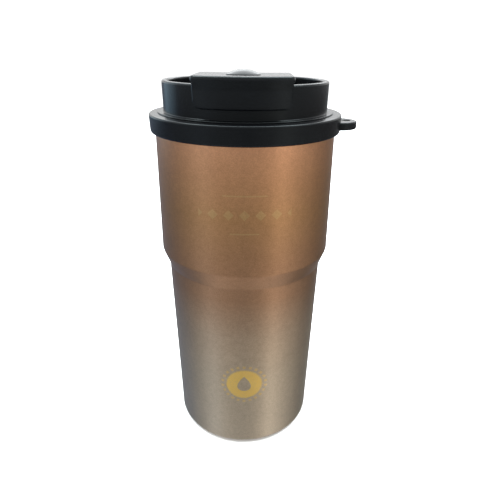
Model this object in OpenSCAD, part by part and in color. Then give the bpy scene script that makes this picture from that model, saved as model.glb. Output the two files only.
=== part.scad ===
// Insulated tumbler: a double-wall steel cup with a screw-in lid, a flip flap and a lanyard eye.
// Millimetres. +Z is up, and the origin is the centre of the face that the tumbler stands on.
// The front, where the flap lifts, is -Y. The lanyard eye points along +X.

/* [Cup] */
// Height of the cup's mouth rim above the table
cup_h = 161.5; // [150:0.5:175]
// Outer radius of the barrel at the mouth
mouth_r = 40.2; // [39.6:0.1:40.3]
// Outer radius of the barrel just above the shoulder
barrel_r = 40.9; // [39.8:0.1:41.5]
// Outer radius at the foot of the shoulder
waist_r = 37.9; // [36.5:0.1:38.6]
// Outer radius that the lower wall would have at the table
base_r = 35.9; // [35.3:0.1:36.5]
// Height of the foot of the shoulder
shoulder_z = 94; // [80:1:105]
// Height of the shoulder's slope
shoulder_h = 8; // [6:0.5:14]
// Rounding of the shoulder's two bends
shoulder_round = 4; // [2:0.5:5]
// Rounding of the bottom edge
base_round = 2.4; // [2:0.1:3]
// Wall of the outer shell
shell_t = 0.7; // [0.5:0.1:0.9]
// Wall of the inner liner
liner_t = 0.6; // [0.5:0.1:0.8]
// Evacuated gap between the two walls
vacuum_gap = 2.5; // [2.2:0.1:2.6]

/* [Lid] */
// Outer radius of the collar
collar_r = 42.7; // [42.4:0.1:45]
// Height of the collar's outside
collar_h = 8.1; // [7:0.1:9]
// Outer radius of the raised ring
ring_r = 36.2; // [35.8:0.1:36.3]
// Wall of the raised ring
ring_t = 2.6; // [2.2:0.1:2.8]
// Height of the raised ring above the collar
ring_h = 13; // [12:0.5:18]
// Radius of the drinking hole
drink_r = 5; // [4:0.1:5.2]
// Distance of the drinking hole in front of the axis
drink_y = 23; // [22:0.5:24]
// Radius of the air hole
vent_r = 1.5; // [1.3:0.1:1.8]
// Distance of the air hole in front of the axis
vent_y = 7; // [6:0.5:8]
// Lead of the screw thread
thread_pitch = 4; // [3:0.5:4.5]
// Turns of the screw thread
thread_turns = 1.5; // [1:0.25:1.75]

/* [Lanyard eye] */
// Distance of the hole from the tumbler's axis
eye_x = 45.4; // [45.4:0.1:46.5]
// Radius of the hole
eye_hole_r = 1.9; // [1.5:0.1:2]
// Thickness of the eye
eye_t = 3.4; // [2.5:0.1:4]

/* [Flap] */
// Width of the flap's lip
flap_w = 39; // [34:0.5:40]
// Thickness of the flap's top plate
flap_t = 2.6; // [2:0.1:3]
// Thickness of the hood in front of the ring
hood_t = 2; // [1.6:0.1:2.4]
// How far the hood hangs below the ring's rim
hood_drop = 8.7; // [5:0.1:9]
// Distance of the hinge pin behind the tumbler's axis
hinge_y = 12; // [10:0.5:14]
// Radius of the hinge pin
pin_r = 1; // [0.8:0.1:1.2]

/* [Hidden] */
$fn = 96;

// Cup
barrel_z = shoulder_z + shoulder_h;
liner_inset = shell_t + vacuum_gap;
rim_lip_t = 0.3;
rim_lip_w = 1.8;
fit_gap = 0.05;
sink = 0.5;
pad_proud = 0.4;
pad_r = 31.9;
liner_floor_z = 10;
liner_round = 9;
vac_plate_z = 4.2;
vac_plate_t = 0.7;
dimple_rise = 1.8;
dimple_r = 5;
dimple_hole_r = 0.8;
clip_x = 16;
clip_r = 5;
getter_r = 4;

// Lid, heights
collar_top = cup_h + 3.5;
collar_bottom = collar_top - 0.2 - collar_h;
plate_under = cup_h + 0.6;
recess_top = cup_h + 1.85;
ring_foot = cup_h + 0.8;
rim_z = collar_top + ring_h;
well_z = collar_top + 3;
well_t = 2;
plug_bottom = cup_h - 15.5;
plug_wall = 1.8;
plug_r = ring_r - ring_t - 0.2;
plug_in_r = plug_r - plug_wall;
tube_wall = 1.8;
vent_tube_wall = 1.1;
plug_top = well_z - well_t - 0.1;
thread_start = cup_h - 11.5;
thread_depth = 1.5;
thread_clear = 0.4;
thread_root_sink = 0.4;

// Flap
flap_under = rim_z + 0.6;
flap_top = flap_under + flap_t;
hood_gap = 0.6;
hood_in_r = ring_r + hood_gap;
hood_out_r = hood_in_r + hood_t;
lip_r = hood_out_r + 0.6;
hinge_z = rim_z - 1.6;
knuckle_w = 14;
knuckle_r = 4.4;
ear_gap = 0.3;
ear_w = 2;
ear_r = 3.2;
pin_clear = 0.05;
boss_r = 4.6;
boss_drop = 7;
boss_z = flap_under - boss_drop;
vent_boss_r = 2.4;
stem_r = 2;
cap_r = 6.8;
cap_rise = 1.8;
seat_gap = 0.15;
seat_z = well_z + seat_gap;

// Outer radius of the shell at a height
function wall_r(z) = lookup(z, [
    [0, base_r], [shoulder_z, waist_r], [barrel_z, barrel_r], [cup_h, mouth_r]]);

function unit(v) = v / norm(v);

// Points along the arc that rounds corner b, between its neighbours a and c
function fillet(a, b, c, r, n) =
    let (u = unit(a - b),
         v = unit(c - b),
         half = acos(u * v) / 2,
         centre = b + unit(u + v) * r / sin(half),
         from = b + u * r / tan(half) - centre,
         to = b + v * r / tan(half) - centre,
         start = atan2(from.y, from.x),
         sweep = (atan2(to.y, to.x) - start + 540) % 360 - 180)
    [for (i = [0:n]) centre + r * [cos(start + sweep * i / n), sin(start + sweep * i / n)]];

// Closed outline from corners [x, y, rounding]
function outline(p, n = 6) = [
    for (i = [0:len(p) - 1])
        let (b = p[i], a = p[(i + len(p) - 1) % len(p)], c = p[(i + 1) % len(p)])
        each b[2] == 0 ? [[b.x, b.y]]
            : fillet([a.x, a.y], [b.x, b.y], [c.x, c.y], b[2], n)];

// Solid turned about Z from corners [radius, height, rounding]
module turned(p) {
    rotate_extrude() polygon(outline(p));
}

// Helical ridge of trapezoid section, fading out at both ends. It points outwards when
// crest_r is more than root_r, and inwards when it is less.
module thread_ridge(root_r, crest_r, z0) {
    steps_per_turn = 36;
    fade_steps = 5;
    root_h = 2.4;
    crest_h = 1;
    fade_min = 0.05;
    steps = round(thread_turns * steps_per_turn);
    outward = crest_r > root_r;
    points = [for (i = [0:steps])
        let (a = 360 * i / steps_per_turn,
             z = z0 + thread_pitch * i / steps_per_turn,
             fade = max(fade_min, min(1, i / fade_steps, (steps - i) / fade_steps)),
             r = root_r + (crest_r - root_r) * fade)
        each [[root_r * cos(a), root_r * sin(a), z - root_h / 2],
              [r * cos(a), r * sin(a), z - crest_h / 2],
              [r * cos(a), r * sin(a), z + crest_h / 2],
              [root_r * cos(a), root_r * sin(a), z + root_h / 2]]];
    sides = [for (i = [0:steps - 1], k = [0:3])
        let (a = 4 * i + k, b = 4 * i + (k + 1) % 4)
        [a, b, b + 4, a + 4]];
    ends = [[3, 2, 1, 0], [for (k = [0:3]) 4 * steps + k]];
    faces = concat(sides, ends);
    polyhedron(points, outward ? faces : [for (f = faces) [f[3], f[2], f[1], f[0]]]);
}

// Painted outer wall, turned in under the base and drawn in at the mouth
module outer_shell() {
    top = cup_h - rim_lip_t;
    mouth_round = 2.9;
    neck_r = mouth_r - liner_inset;
    color("#a98460")
    turned([
        [pad_r + 0.2, pad_proud, 0],
        [base_r, pad_proud, base_round],
        [waist_r, shoulder_z, shoulder_round],
        [barrel_r, barrel_z, shoulder_round],
        [mouth_r, top, mouth_round],
        [neck_r, top, 0],
        [neck_r, top - shell_t, 0],
        [mouth_r - shell_t, top - shell_t, mouth_round - shell_t],
        [barrel_r - shell_t, barrel_z, shoulder_round - shell_t],
        [waist_r - shell_t, shoulder_z, shoulder_round + shell_t],
        [base_r - shell_t, pad_proud + shell_t, base_round - shell_t],
        [pad_r + 0.2, pad_proud + shell_t, 0]]);
}

// Drinking vessel inside the vacuum, with the cup's thread in its neck
module inner_liner() {
    out = liner_inset;
    in = liner_inset + liner_t;
    thread_r = wall_r(thread_start) - in;
    crest_r = plug_r + thread_depth + thread_clear;
    color("silver")
    union() {
        turned([
            [0, liner_floor_z, 0],
            [wall_r(liner_floor_z) - out, liner_floor_z, liner_round],
            [waist_r - out, shoulder_z, shoulder_round],
            [barrel_r - out, barrel_z, shoulder_round],
            [mouth_r - out, cup_h - rim_lip_t, 0],
            [mouth_r - in + rim_lip_w, cup_h - rim_lip_t, 0],
            [mouth_r - in + rim_lip_w, cup_h, 0],
            [mouth_r - in, cup_h, 0.5],
            [barrel_r - in, barrel_z, shoulder_round],
            [waist_r - in, shoulder_z, shoulder_round],
            [wall_r(liner_floor_z) - in, liner_floor_z + liner_t, liner_round - liner_t],
            [0, liner_floor_z + liner_t, 0]]);
        thread_ridge(thread_r + liner_t / 2, crest_r, thread_start + thread_pitch / 2);
    }
}

// Thin reflecting foil wound round the liner inside the vacuum
module foil_wrap() {
    clear = 0.2;
    foil_t = 0.2;
    low = 22;
    high = cup_h - 18;
    far = liner_inset - clear;
    near = far - foil_t;
    color("#d9b38c")
    turned([
        [wall_r(low) - far, low, 0],
        [wall_r(low) - near, low, 0],
        [waist_r - near, shoulder_z, shoulder_round],
        [barrel_r - near, barrel_z, shoulder_round],
        [wall_r(high) - near, high, 0],
        [wall_r(high) - far, high, 0],
        [barrel_r - far, barrel_z, shoulder_round],
        [waist_r - far, shoulder_z, shoulder_round]]);
}

// Welded plate that closes the vacuum, with the evacuation dimple in its middle
module vacuum_base() {
    flange_h = 5;
    flange_r = wall_r(vac_plate_z) - shell_t - fit_gap;
    hip = 0.3;
    color("silver")
    turned([
        [dimple_hole_r, vac_plate_z + dimple_rise, 0],
        [dimple_r, vac_plate_z + dimple_rise, 0],
        [dimple_r + dimple_rise, vac_plate_z, 0],
        [flange_r, vac_plate_z, 1],
        [flange_r, vac_plate_z + flange_h, 0],
        [flange_r - vac_plate_t, vac_plate_z + flange_h, 0],
        [flange_r - vac_plate_t, vac_plate_z + vac_plate_t, 0],
        [dimple_r + dimple_rise + hip, vac_plate_z + vac_plate_t, 0],
        [dimple_r + hip, vac_plate_z + dimple_rise + vac_plate_t, 0],
        [dimple_hole_r, vac_plate_z + dimple_rise + vac_plate_t, 0]]);
}

// Solder bead that seals the evacuation hole
module seal_bead() {
    bead_r = 3.2;
    bead_t = 0.8;
    under = vac_plate_z + dimple_rise;
    color("gray")
    turned([
        [0, under - bead_t, 0],
        [bead_r - 0.8, under - bead_t, 0],
        [bead_r, under, 0],
        [dimple_hole_r, under, 0],
        [dimple_hole_r, under + vac_plate_t, 0],
        [0, under + vac_plate_t, 0]]);
}

// Gas-absorbing pellet in the vacuum
module getter() {
    pellet_t = 1.3;
    under_floor = 0.6;
    color("dimgray")
    translate([clip_x, 0, liner_floor_z - under_floor - pellet_t])
    cylinder(r = getter_r, h = pellet_t);
}

// Small steel cup that holds the pellet under the liner's floor
module getter_clip() {
    clip_h = 2.5;
    clip_t = 0.4;
    color("silver")
    translate([clip_x, 0, liner_floor_z - clip_h])
    difference() {
        cylinder(r = clip_r, h = clip_h);
        translate([0, 0, clip_t]) cylinder(r = clip_r - clip_t, h = clip_h);
    }
}

// Steel disc inside the base that the pad is glued to
module base_cap() {
    cap_t = 0.6;
    overlap = 1;
    color("silver")
    translate([0, 0, pad_proud + shell_t])
    cylinder(r = pad_r + overlap, h = cap_t);
}

// Non-slip pad that the tumbler stands on
module base_pad() {
    edge_round = 0.4;
    color("#2a2a2c")
    turned([
        [0, 0, 0],
        [pad_r, 0, edge_round],
        [pad_r, pad_proud + shell_t, 0],
        [0, pad_proud + shell_t, 0]]);
}

// Overhanging collar with the lanyard eye
module lid_collar() {
    skirt_in_r = mouth_r + 0.55;
    recess_r = mouth_r - 0.4;
    hole_r = ring_r + 0.1;
    draft = 0.3;
    fall = 0.4;
    eye_top = collar_bottom + 4.6;
    eye_r = 8.5;
    eye_root_x = 41.6;
    eye_root_sink = 0.9;
    color("#1c1b20")
    difference() {
        union() {
            turned([
                [skirt_in_r, collar_bottom, 0.3],
                [collar_r - draft, collar_bottom, 1.2],
                [collar_r, collar_top - fall, 0.9],
                [hole_r, collar_top, 0.2],
                [hole_r, recess_top, 0],
                [recess_r, recess_top, 0],
                [recess_r, plate_under, 0],
                [skirt_in_r, plate_under, 0]]);
            difference() {
                translate([eye_root_x, 0, eye_top - eye_t]) cylinder(r = eye_r, h = eye_t);
                cylinder(r = collar_r - eye_root_sink, h = collar_top);
            }
        }
        translate([eye_x, 0, 0]) cylinder(r = eye_hole_r, h = collar_top + 1);
    }
}

// Raised ring with the well inside it, the two holes and the hinge ears
module lid_top() {
    in_r = ring_r - ring_t;
    rim_round = 0.9;
    floor_round = 1.2;
    color("#1f1e24")
    difference() {
        union() {
            turned([
                [0, well_z - well_t, 0],
                [in_r - fit_gap, well_z - well_t, 0],
                [in_r - fit_gap, ring_foot, 0],
                [ring_r, ring_foot, 0],
                [ring_r, rim_z, rim_round],
                [in_r, rim_z, rim_round],
                [in_r, well_z, floor_round],
                [0, well_z, 0]]);
            hinge_ears();
        }
        translate([0, -drink_y, 0]) cylinder(r = drink_r, h = well_z + 1);
        translate([0, -vent_y, 0]) cylinder(r = vent_r, h = well_z + 1);
        along_hinge(2 * knuckle_w) cylinder(r = pin_r + pin_clear, h = 2 * knuckle_w);
    }
}

// Places its child, drawn along +Z with that length, centred on the hinge axis along X
module along_hinge(length) {
    translate([-length / 2, hinge_y, hinge_z])
    rotate([0, 90, 0])
    children();
}

module hinge_ears() {
    for (side = [0, 1])
    mirror([side, 0, 0])
    translate([knuckle_w / 2 + ear_gap, hinge_y, 0]) {
        translate([0, 0, hinge_z]) rotate([0, 90, 0]) cylinder(r = ear_r, h = ear_w);
        translate([0, -ear_r, well_z - sink]) cube([ear_w, 2 * ear_r, hinge_z - well_z + sink]);
    }
}

// Insulated plug that screws into the neck, with the drink and air passages
module lid_plug() {
    tube_top = well_z - well_t - 1.5;
    tube_r = drink_r + tube_wall;
    vent_tube_r = vent_r + vent_tube_wall;
    floor_t = 2;
    edge_round = 1.5;
    color("#26252b")
    difference() {
        union() {
            turned([
                [0, plug_bottom, 0],
                [plug_r, plug_bottom, edge_round],
                [plug_r, plug_top, 0],
                [plug_in_r, plug_top, 0],
                [plug_in_r, plug_bottom + floor_t, 1],
                [0, plug_bottom + floor_t, 0]]);
            translate([0, -drink_y, plug_bottom + sink])
            cylinder(r = tube_r, h = tube_top - plug_bottom - sink);
            translate([0, -vent_y, plug_bottom + sink])
            cylinder(r = vent_tube_r, h = plug_top - plug_bottom - sink);
            thread_ridge(plug_r - thread_root_sink, plug_r + thread_depth, thread_start);
        }
        translate([0, -drink_y, 0]) cylinder(r = drink_r, h = well_z);
        translate([0, -vent_y, 0]) cylinder(r = vent_r, h = well_z);
    }
}

// Foam disc that insulates the plug
module plug_foam() {
    foam_h = 10;
    clear = 0.3;
    edge_gap = 0.9;
    foam_z = plug_bottom + 2.2;
    color("whitesmoke")
    difference() {
        translate([0, 0, foam_z]) cylinder(r = plug_in_r - edge_gap, h = foam_h);
        translate([0, -drink_y, 0]) cylinder(r = drink_r + tube_wall + clear, h = well_z);
        translate([0, -vent_y, 0]) cylinder(r = vent_r + vent_tube_wall + clear, h = well_z);
    }
}

// Silicone ring that seals the drink passage where plug and top meet
module passage_seal() {
    seal_t = 1.4;
    side_gap = 0.1;
    color("#8f9499")
    translate([0, -drink_y, well_z - well_t - seal_t - fit_gap])
    difference() {
        cylinder(r = drink_r + tube_wall - side_gap, h = seal_t);
        translate([0, 0, -1]) cylinder(r = drink_r + side_gap, h = seal_t + 2);
    }
}

// Silicone ring between the collar and the cup's mouth rim
module lid_gasket() {
    gasket_in_r = ring_r + 0.3;
    gasket_out_r = mouth_r - 0.6;
    low = cup_h + 0.25;
    high = recess_top - 0.15;
    edge_round = 0.4;
    color("#8f9499")
    turned([
        [gasket_in_r, low, edge_round],
        [gasket_out_r, low, edge_round],
        [gasket_out_r, high, 0],
        [gasket_in_r, high, 0]]);
}

// Flip flap: top plate, hood over the ring's front, stopper bosses and hinge knuckle
module flap() {
    color("#1c1b20")
    difference() {
        union() {
            translate([0, 0, flap_under])
            linear_extrude(flap_t)
            intersection() {
                polygon(flap_plan());
                circle(r = lip_r);
            }
            hood();
            along_hinge(knuckle_w) cylinder(r = knuckle_r, h = knuckle_w);
            translate([0, -drink_y, boss_z]) cylinder(r = boss_r, h = boss_drop + 1);
            translate([0, -vent_y, boss_z]) cylinder(r = vent_boss_r, h = boss_drop + 1);
        }
        along_hinge(2 * knuckle_w) cylinder(r = pin_r + pin_clear, h = 2 * knuckle_w);
        translate([0, -drink_y, 0]) cylinder(r = stem_r + fit_gap, h = flap_top + 1);
        rear_slope();
    }
}

// Wedge cut off the flap's top, so that it falls away towards the hinge
module rear_slope() {
    from_y = -9;
    slope = 3.5;
    translate([-flap_w / 2, from_y, flap_top])
    rotate([-slope, 0, 0])
    cube([flap_w, lip_r, flap_t]);
}

// Outline of the flap's plate seen from above, open-ended at the front where the lip cuts it
function flap_plan() =
    let (half = flap_w / 2, neck = knuckle_w / 2, side_end = -8, side_round = 8,
         neck_start = 7, neck_round = 3)
    outline([
        [-half, -lip_r - 1, 0],
        [half, -lip_r - 1, 0],
        [half, side_end, side_round],
        [neck, neck_start, neck_round],
        [neck, hinge_y + 1, 0],
        [-neck, hinge_y + 1, 0],
        [-neck, neck_start, neck_round],
        [-half, side_end, side_round]]);

// Curved plate that hangs in front of the ring, narrowing downwards
module hood() {
    side_inset = 0.5;
    taper = 0.4;
    corner_round = 3;
    top_half = flap_w / 2 - side_inset;
    low_half = top_half - taper;
    high = flap_under + sink;
    low = rim_z - hood_drop;
    intersection() {
        turned([
            [hood_in_r, low, 0],
            [hood_out_r, low, 0.6],
            [hood_out_r, high, 0],
            [hood_in_r, high, 0]]);
        translate([0, -hood_out_r / 2, 0])
        rotate([90, 0, 0])
        linear_extrude(hood_out_r)
        polygon(outline([
            [-low_half, low, corner_round],
            [low_half, low, corner_round],
            [top_half, high, 0],
            [-top_half, high, 0]]));
    }
}

// Steel pin that the flap turns on
module hinge_pin() {
    pin_l = knuckle_w + 2 * (ear_gap + ear_w);
    color("silver")
    along_hinge(pin_l)
    cylinder(r = pin_r, h = pin_l);
}

// Silicone stopper under the flap that closes the drinking hole
module stopper() {
    head_r = 7.2;
    nose_l = 1.8;
    nose_r = 3;
    neck_r = drink_r - 0.8;
    socket_r = boss_r + fit_gap;
    socket_h = 3;
    stem_z = boss_z - 1.5;
    color("#8f9499")
    translate([0, -drink_y, 0])
    turned([
        [0, seat_z - nose_l, 0],
        [nose_r, seat_z - nose_l, 0.6],
        [neck_r, seat_z, 0],
        [head_r, seat_z, 0.5],
        [head_r, boss_z + socket_h, 0.5],
        [socket_r, boss_z + socket_h, 0],
        [socket_r, boss_z - fit_gap, 0],
        [stem_r + fit_gap, boss_z - fit_gap, 0],
        [stem_r + fit_gap, stem_z, 0],
        [0, stem_z, 0]]);
}

// Domed head on the flap whose stem holds the stopper
module stopper_cap() {
    dome_r = (cap_r * cap_r + cap_rise * cap_rise) / (2 * cap_rise);
    stem_l = boss_drop + flap_t + 1.4;
    color("#6f777c")
    translate([0, -drink_y, flap_top])
    union() {
        intersection() {
            translate([0, 0, cap_rise - dome_r]) sphere(r = dome_r);
            cylinder(r = cap_r + 1, h = cap_rise + 1);
        }
        translate([0, 0, -stem_l]) cylinder(r = stem_r, h = stem_l + 0.3);
    }
}

// Silicone nub under the flap that closes the air hole
module vent_plug() {
    head_r = 3.3;
    head_round = 0.4;
    nose_l = 0.9;
    nose_r = 0.6;
    neck_r = vent_r - 0.6;
    socket_r = vent_boss_r + fit_gap;
    socket_h = 2;
    color("#8f9499")
    translate([0, -vent_y, 0])
    turned([
        [0, seat_z - nose_l, 0],
        [nose_r, seat_z - nose_l, 0],
        [neck_r, seat_z, 0],
        [head_r, seat_z, head_round],
        [head_r, boss_z + socket_h, head_round],
        [socket_r, boss_z + socket_h, 0],
        [socket_r, boss_z - fit_gap, 0],
        [0, boss_z - fit_gap, 0]]);
}

outer_shell();
inner_liner();
foil_wrap();
vacuum_base();
seal_bead();
getter();
getter_clip();
base_cap();
base_pad();
lid_collar();
lid_top();
lid_plug();
plug_foam();
passage_seal();
lid_gasket();
flap();
hinge_pin();
stopper();
stopper_cap();
vent_plug();
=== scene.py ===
"""Looks of the insulated tumbler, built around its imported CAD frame.

Shapes are worked out in millimetres, and scaled to metres as each piece is made. The front, where
the flap lifts, is -Y, and the lanyard eye points along +X."""
import math

import bmesh
import bpy
from mathutils import Matrix, Vector


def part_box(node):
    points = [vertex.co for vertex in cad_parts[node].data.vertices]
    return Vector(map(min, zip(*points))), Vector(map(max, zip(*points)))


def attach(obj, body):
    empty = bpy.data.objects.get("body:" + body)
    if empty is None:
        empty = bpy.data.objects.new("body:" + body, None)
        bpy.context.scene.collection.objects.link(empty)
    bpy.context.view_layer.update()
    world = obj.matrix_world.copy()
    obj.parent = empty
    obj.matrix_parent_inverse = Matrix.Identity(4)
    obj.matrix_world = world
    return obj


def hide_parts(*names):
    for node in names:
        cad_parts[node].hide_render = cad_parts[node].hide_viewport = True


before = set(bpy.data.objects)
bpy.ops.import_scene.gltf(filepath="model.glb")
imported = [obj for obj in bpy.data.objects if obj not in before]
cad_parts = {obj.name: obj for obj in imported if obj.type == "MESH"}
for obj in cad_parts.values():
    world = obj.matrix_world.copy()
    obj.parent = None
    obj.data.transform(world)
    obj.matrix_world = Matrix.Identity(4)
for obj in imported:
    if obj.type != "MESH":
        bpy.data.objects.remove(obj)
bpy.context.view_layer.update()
MM = 0.001


def box_mm(node):
    """Lowest and highest corner of a CAD node, in millimetres."""
    low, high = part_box(node)
    return low / MM, high / MM


# ---------------------------------------------------------------- sizes, in millimetres

# Cup: the barrel steps in at a shoulder, and both stretches taper a little
shell_low, shell_high = box_mm("outer_shell")
liner_low, liner_high = box_mm("inner_liner")
pad_high = box_mm("base_pad")[1]
BARREL_R = shell_high.x
MOUTH_R = BARREL_R - 0.7
WAIST_R = BARREL_R - 3.0
BASE_R = BARREL_R - 5.0
SHOULDER_Z = 94.0
SHOULDER_H = 8.0
BARREL_Z = SHOULDER_Z + SHOULDER_H
SHOULDER_ROUND = 4.0
BASE_ROUND = 2.4
MOUTH_ROUND = 2.9
SHELL_T = 0.7
LINER_T = 0.6
LINER_INSET = 3.2
LINER_ROUND = 9.0
LINER_FLOOR = liner_low.z
CUP_H = liner_high.z
PAD_R = pad_high.x

# Lid
collar_low, collar_high = box_mm("lid_collar")
top_low, top_high = box_mm("lid_top")
plug_low, plug_high = box_mm("lid_plug")
gasket_low, gasket_high = box_mm("lid_gasket")
COLLAR_R = collar_high.y
RING_R = top_high.y
RING_T = 2.6
RIM_Z = collar_high.z + 13.0
WELL_Z = collar_high.z + 3.0
WELL_T = 2.0
PLUG_R = RING_R - RING_T - 0.2
PLUG_WALL = 1.8
PLUG_FLOOR_T = 2.0
THREAD_PITCH = 4.0
THREAD_TURNS = 1.5
THREAD_DEPTH = 1.5
THREAD_CLEAR = 0.4
THREAD_Z = CUP_H - 11.5
EYE_TOP = collar_low.z + 4.6
EYE_T = 3.4
EYE_R = 8.5
EYE_X = 41.6
EYE_HOLE_R = 1.9
EYE_HOLE_X = 45.4

# Flap and what it carries
flap_low, flap_high = box_mm("flap")
pin_low, pin_high = box_mm("hinge_pin")
stopper_low, stopper_high = box_mm("stopper")
vent_low, vent_high = box_mm("vent_plug")
dome_low, dome_high = box_mm("stopper_cap")
DRINK_Y = (stopper_low.y + stopper_high.y) / 2
VENT_Y = (vent_low.y + vent_high.y) / 2
DRINK_R = 5.0
VENT_R = 1.5
HINGE = (pin_low + pin_high) / 2
PIN_R = (pin_high.z - pin_low.z) / 2
KNUCKLE_R = 4.4
KNUCKLE_W = 14.0
EAR_GAP = 0.3
EAR_W = 2.0
EAR_R = 3.2
FLAP_T = 2.6
FLAP_TOP = flap_high.z
FLAP_UNDER = FLAP_TOP - FLAP_T
FLAP_HALF = flap_high.x
LIP_R = -flap_low.y
SLOPE_FROM_Y = -9.0
SLOPE = math.tan(math.radians(3.5))
HOOD_T = 2.0
HOOD_OUT_R = LIP_R - 0.6
BOSS_Z = FLAP_UNDER - 7.0
BOSS_R = 4.6
VENT_BOSS_R = 2.4
STEM_R = 2.0
DOME_R = dome_high.x
SEAT_GAP = 0.15
FIT_GAP = 0.05


# ---------------------------------------------------------------- paint and light

# How far the painted marks stand right of the middle
MARK_X = 1.3

# Share of the cup's height, and the paint's colour there
PAINT_TONES = [
    (0.04, (0.50, 0.42, 0.32)),
    (0.26, (0.47, 0.385, 0.285)),
    (0.415, (0.43, 0.32, 0.225)),
    (0.545, (0.365, 0.21, 0.122)),
    (0.65, (0.37, 0.20, 0.107)),
    (0.79, (0.41, 0.22, 0.10)),
    (0.89, (0.475, 0.245, 0.122)),
    (0.96, (0.53, 0.27, 0.143))]

BLUE = (0.84, 1.0, 1.34)
COOL = (0.94, 1.0, 1.08)
PLAIN = (1.0, 1.0, 1.0)
WARM = (1.04, 1.0, 0.95)

# Below the horizon: azimuth in degrees from the front towards +X, brightness and tint
SIDE_LIGHT = [
    (-179, 0.30, COOL), (-147, 0.20, BLUE), (-104, 0.22, BLUE), (-84, 0.34, COOL),
    (-50, 0.74, COOL), (-28, 0.50, PLAIN), (5, 0.38, PLAIN), (28, 0.50, WARM),
    (50, 1.04, WARM), (64, 0.68, WARM), (88, 0.42, WARM), (110, 0.20, WARM),
    (130, 0.15, PLAIN), (179, 0.30, COOL)]

# Above the horizon, and straight down, where the sides are lit more
SKY_LIGHT = 1.1
DEEP_LIGHT = 0.50
DEEP_SIDE_LIGHT = 0.62

# Heights of the view direction between which one part of the surroundings fades into the next
HORIZON_FADE = (-0.06, -0.01)
DEEP_FADE = (-0.80, -0.93)

# Name, azimuth in degrees, distance, height, width and height of the box, power and colour
LIGHTS = [
    ("left_box", -60, 0.9, 0.45, (0.35, 0.9), 0.12, (0.80, 0.94, 1.0)),
    ("right_box", 52, 0.9, 0.45, (0.22, 0.9), 0.2, (1.0, 0.97, 0.92)),
    ("window", -121, 0.9, 0.4, (0.60, 0.8), 1.4, (0.50, 0.80, 1.0)),
    ("back_box", 180, 1.2, 1.2, (1.4, 1.5), 22, (0.94, 0.98, 1.0)),
    ("top_box", 180, 0.1, 1.3, (2.4, 0.5), 48, (0.88, 0.98, 1.0))]


# ---------------------------------------------------------------- mesh tools

def corner_arc(a, b, c, radius, steps):
    """Points of the arc that rounds corner b between its neighbours a and c."""
    u = (a - b).normalized()
    v = (c - b).normalized()
    half = math.acos(max(-1.0, min(1.0, u.dot(v)))) / 2
    centre = b + (u + v).normalized() * (radius / math.sin(half))
    first = b + u * (radius / math.tan(half)) - centre
    last = b + v * (radius / math.tan(half)) - centre
    start = math.atan2(first.y, first.x)
    sweep = (math.atan2(last.y, last.x) - start + 3 * math.pi) % (2 * math.pi) - math.pi
    angles = [start + sweep * i / steps for i in range(steps + 1)]
    return [centre + radius * Vector((math.cos(t), math.sin(t))) for t in angles]


def outline(corners, steps):
    """Closed line of 2-D points from corners (x, y, rounding)."""
    points = []
    for i, (x, y, radius) in enumerate(corners):
        here = Vector((x, y))
        if radius == 0:
            points.append(here)
            continue
        before = Vector(corners[i - 1][:2])
        after = Vector(corners[(i + 1) % len(corners)][:2])
        points += corner_arc(before, here, after, radius, steps)
    return points


def skin(bm, rings, closed=False):
    """Faces between successive rings of vertices. A ring of one vertex is a pole."""
    following = rings[1:] + rings[:1] if closed else rings[1:]
    for low, high in zip(rings, following):
        count = max(len(low), len(high))
        if count == 1:
            continue
        for k in range(count):
            n = (k + 1) % count
            corners = []
            for ring, j in ((low, k), (low, n), (high, n), (high, k)):
                vert = ring[j % len(ring)]
                if vert not in corners:
                    corners.append(vert)
            bm.faces.new(corners)


def solid(bm):
    """Scratch object, still in millimetres, that holds the mesh."""
    bmesh.ops.recalc_face_normals(bm, faces=bm.faces)
    mesh = bpy.data.meshes.new("solid")
    bm.to_mesh(mesh)
    bm.free()
    obj = bpy.data.objects.new("solid", mesh)
    bpy.context.scene.collection.objects.link(obj)
    return obj


def turned(corners, steps=192, curve_steps=8):
    """Solid turned about Z from corners (radius, height, rounding)."""
    on_axis = 1e-6
    bm = bmesh.new()
    rings = []
    for radius, height in outline(corners, curve_steps):
        count = 1 if radius < on_axis else steps
        angles = [2 * math.pi * k / steps for k in range(count)]
        rings.append([bm.verts.new((radius * math.cos(t), radius * math.sin(t), height))
                      for t in angles])
    skin(bm, rings, closed=True)
    return solid(bm)


def bar(radius, low, high, round_low=0, round_high=0, steps=192):
    """Round bar about Z."""
    return turned([(0, low, 0), (radius, low, round_low), (radius, high, round_high),
                   (0, high, 0)], steps=steps)


def plate(line, low, high, edge, cap_rings=12, drop=None):
    """Plate with rounded edges. line is its closed outline, and drop gives how far the top dips
    at a point."""
    count = len(line)
    middle = sum(line, Vector((0, 0))) / count
    outward = []
    for i in range(count):
        along = line[(i + 1) % count] - line[i - 1]
        outward.append(Vector((along.y, -along.x)).normalized())
    area = sum(line[i - 1].cross(line[i]) for i in range(count))
    if area < 0:
        outward = [-v for v in outward]
    edge_steps = 6
    levels = [(k / cap_rings, edge, low) for k in range(cap_rings)]
    for side, height in ((-1, low + edge), (1, high - edge)):
        for k in range(edge_steps + 1):
            tilt = math.pi / 2 * (k / edge_steps - 1 if side < 0 else k / edge_steps)
            levels.append((1, edge * (1 - math.cos(tilt)), height + edge * math.sin(tilt)))
    levels += [(k / cap_rings, edge, high) for k in reversed(range(cap_rings))]
    bm = bmesh.new()
    rings = []
    for share, inset, height in levels:
        points = [line[i] - outward[i] * inset for i in range(count)]
        points = [middle + (p - middle) * share for p in points[:1 if share == 0 else None]]
        left = [1 - drop(p) / (high - low) if drop else 1 for p in points]
        rings.append([bm.verts.new((p.x, p.y, low + (height - low) * k))
                      for p, k in zip(points, left)])
    skin(bm, rings)
    return solid(bm)


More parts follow.
